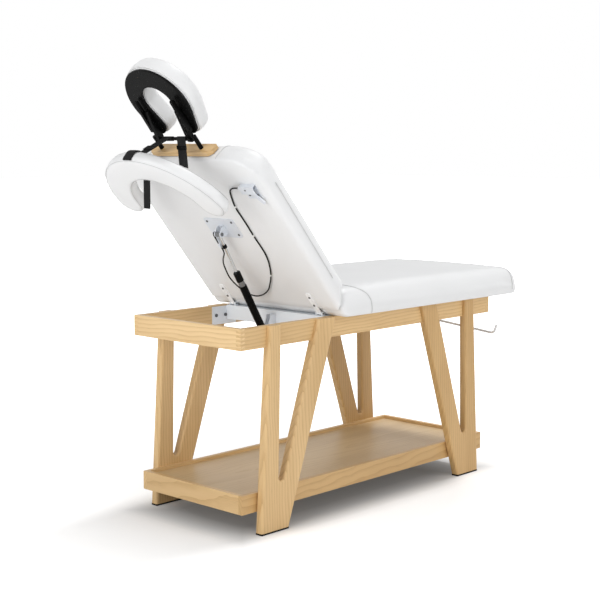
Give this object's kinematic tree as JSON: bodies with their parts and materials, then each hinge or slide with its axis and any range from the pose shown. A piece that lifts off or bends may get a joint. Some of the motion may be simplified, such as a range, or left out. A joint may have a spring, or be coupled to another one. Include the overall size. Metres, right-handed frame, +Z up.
{
  "type": "massage table",
  "caption": "Timber massage table with padded seat, gas-spring backrest raised, face cradle, hanging arm sling, tray shelf and V-shaped legs",
  "frame": {"origin": "centre of the object's footprint box at floor level", "axes": "+X to the foot end along the table's length, +Y to the far side in the picture, +Z up"},
  "size_m": [1.8468, 0.7, 1.6501],
  "materials": {
    "pale_timber": "clear satin lacquer over pale ash, rounded edges",
    "plywood": "lacquered plywood",
    "white_vinyl": "white upholstery vinyl with a fine grain, sewn seams",
    "black_rubber": "matt black rubber",
    "white_enamel": "white powder coat",
    "zinc_plate": "bright zinc plating",
    "bright_steel": "zinc-plated steel",
    "chrome_rod": "hard-chromed ground rod",
    "black_plastic": "black moulded nylon",
    "black_enamel": "black painted tube",
    "white_plastic": "white moulded plastic",
    "black_webbing": "black woven nylon webbing"
  },
  "bodies": {
    "frame": {"near_rail": "pale_timber", "far_rail": "pale_timber", "head_rail": "pale_timber", "foot_rail": "pale_timber", "near_head_leg": "pale_timber", "far_head_leg": "pale_timber", "near_foot_leg": "pale_timber", "far_foot_leg": "pale_timber", "foot_pads": "black_rubber", "shelf_near_rim": "pale_timber", "shelf_far_rim": "pale_timber", "shelf_head_rim": "pale_timber", "shelf_foot_rim": "pale_timber", "shelf_panel": "plywood", "seat_board": "plywood", "seat_cushion": "white_vinyl", "hinge_ears": "white_enamel", "hinge_pins": "bright_steel", "cross_channel": "white_enamel", "channel_end_plates": "zinc_plate", "channel_bolts": "bright_steel", "spring_arms": "zinc_plate", "roll_plate": "zinc_plate", "roll_rod": "white_enamel"},
    "backrest": {"backrest_board": "plywood", "backrest_cushion": "white_vinyl", "near_hinge_strap": "white_enamel", "far_hinge_strap": "white_enamel", "backrest_screws": "bright_steel", "spring_mount_plate": "zinc_plate", "spring_clevis": "zinc_plate", "clevis_pin": "bright_steel", "lever_bracket": "zinc_plate", "lever_pin": "bright_steel", "release_cable": "black_rubber", "cable_ferrules": "bright_steel", "cable_clips": "white_plastic", "head_board": "pale_timber", "cradle_sockets": "zinc_plate"},
    "hand_lever": {"release_lever": "zinc_plate"},
    "rocker": {"release_rocker": "black_plastic"},
    "spring_rod": {"piston_rod": "chrome_rod", "rod_eye": "bright_steel", "rod_ring": "black_plastic"},
    "spring_body": {"spring_tube": "bright_steel", "spring_cap": "black_plastic", "spring_sleeve": "black_enamel", "spring_lug": "bright_steel"},
    "cradle_mast": {"cradle_posts": "black_enamel", "cradle_bar": "black_enamel"},
    "face_cradle": {"cradle_frame": "black_plastic", "cradle_arms": "black_plastic", "cradle_cushion": "white_vinyl"},
    "near_cam": {"near_cam_lever": "black_plastic"},
    "far_cam": {"far_cam_lever": "black_plastic"},
    "sling": {"arm_sling": "white_vinyl", "sling_belt": "black_webbing", "near_sling_strap": "black_webbing", "far_sling_strap": "black_webbing", "strap_buckles": "black_plastic"}
  },
  "joints": [
    {"name": "backrest_tilt", "type": "hinge", "parent": "frame", "child": "backrest", "pos_m": [-0.20956, 0, 0.743], "axis": [0, 1, 0], "range_deg": [-50, 0]},
    {"name": "lever_swing", "type": "hinge", "parent": "backrest", "child": "hand_lever", "pos_m": [-0.61465, -0.262, 1.20787], "axis": [0.766, 0, 0.6428], "range_deg": [0, 18], "stiffness_Nm_per_rad": 4},
    {"name": "rocker_swing", "type": "hinge", "parent": "backrest", "child": "rocker", "pos_m": [-0.49806, 0, 1.03548], "axis": [0, 1, 0], "range_deg": [0, 9]},
    {"name": "rod_swing", "type": "hinge", "parent": "backrest", "child": "spring_rod", "pos_m": [-0.49806, 0, 1.03548], "axis": [0, 1, 0], "range_deg": [0, 3.2]},
    {"name": "spring_stroke", "type": "slide", "parent": "spring_rod", "child": "spring_body", "axis": [0.5129, 0, -0.8584], "range_m": [-0.0957, 0]},
    {"name": "cradle_slide", "type": "slide", "parent": "backrest", "child": "cradle_mast", "axis": [-0.6428, 0, 0.766], "range_m": [0, 0.05]},
    {"name": "cradle_tilt", "type": "hinge", "parent": "cradle_mast", "child": "face_cradle", "pos_m": [-0.69972, 0, 1.37538], "axis": [0, 1, 0], "range_deg": [-35, 15]},
    {"name": "near_cam_turn", "type": "hinge", "parent": "face_cradle", "child": "near_cam", "pos_m": [-0.71967, -0.093, 1.40694], "axis": [0, 1, 0], "range_deg": [-30, 0]},
    {"name": "far_cam_turn", "type": "hinge", "parent": "face_cradle", "child": "far_cam", "pos_m": [-0.71967, 0.093, 1.40694], "axis": [0, 1, 0], "range_deg": [-30, 0]},
    {"name": "sling_swing", "type": "hinge", "parent": "cradle_mast", "child": "sling", "pos_m": [-0.69972, 0, 1.37538], "axis": [0, 1, 0], "range_deg": [0, 25]}
  ],
  "couplings": [
    {"joint": "rocker_swing", "follows": "lever_swing", "ratio": 0.5},
    {"joint": "rod_swing", "follows": "backrest_tilt", "ratio": -0.064},
    {"joint": "spring_stroke", "follows": "backrest_tilt", "m_per_rad": 0.1095}
  ]
}
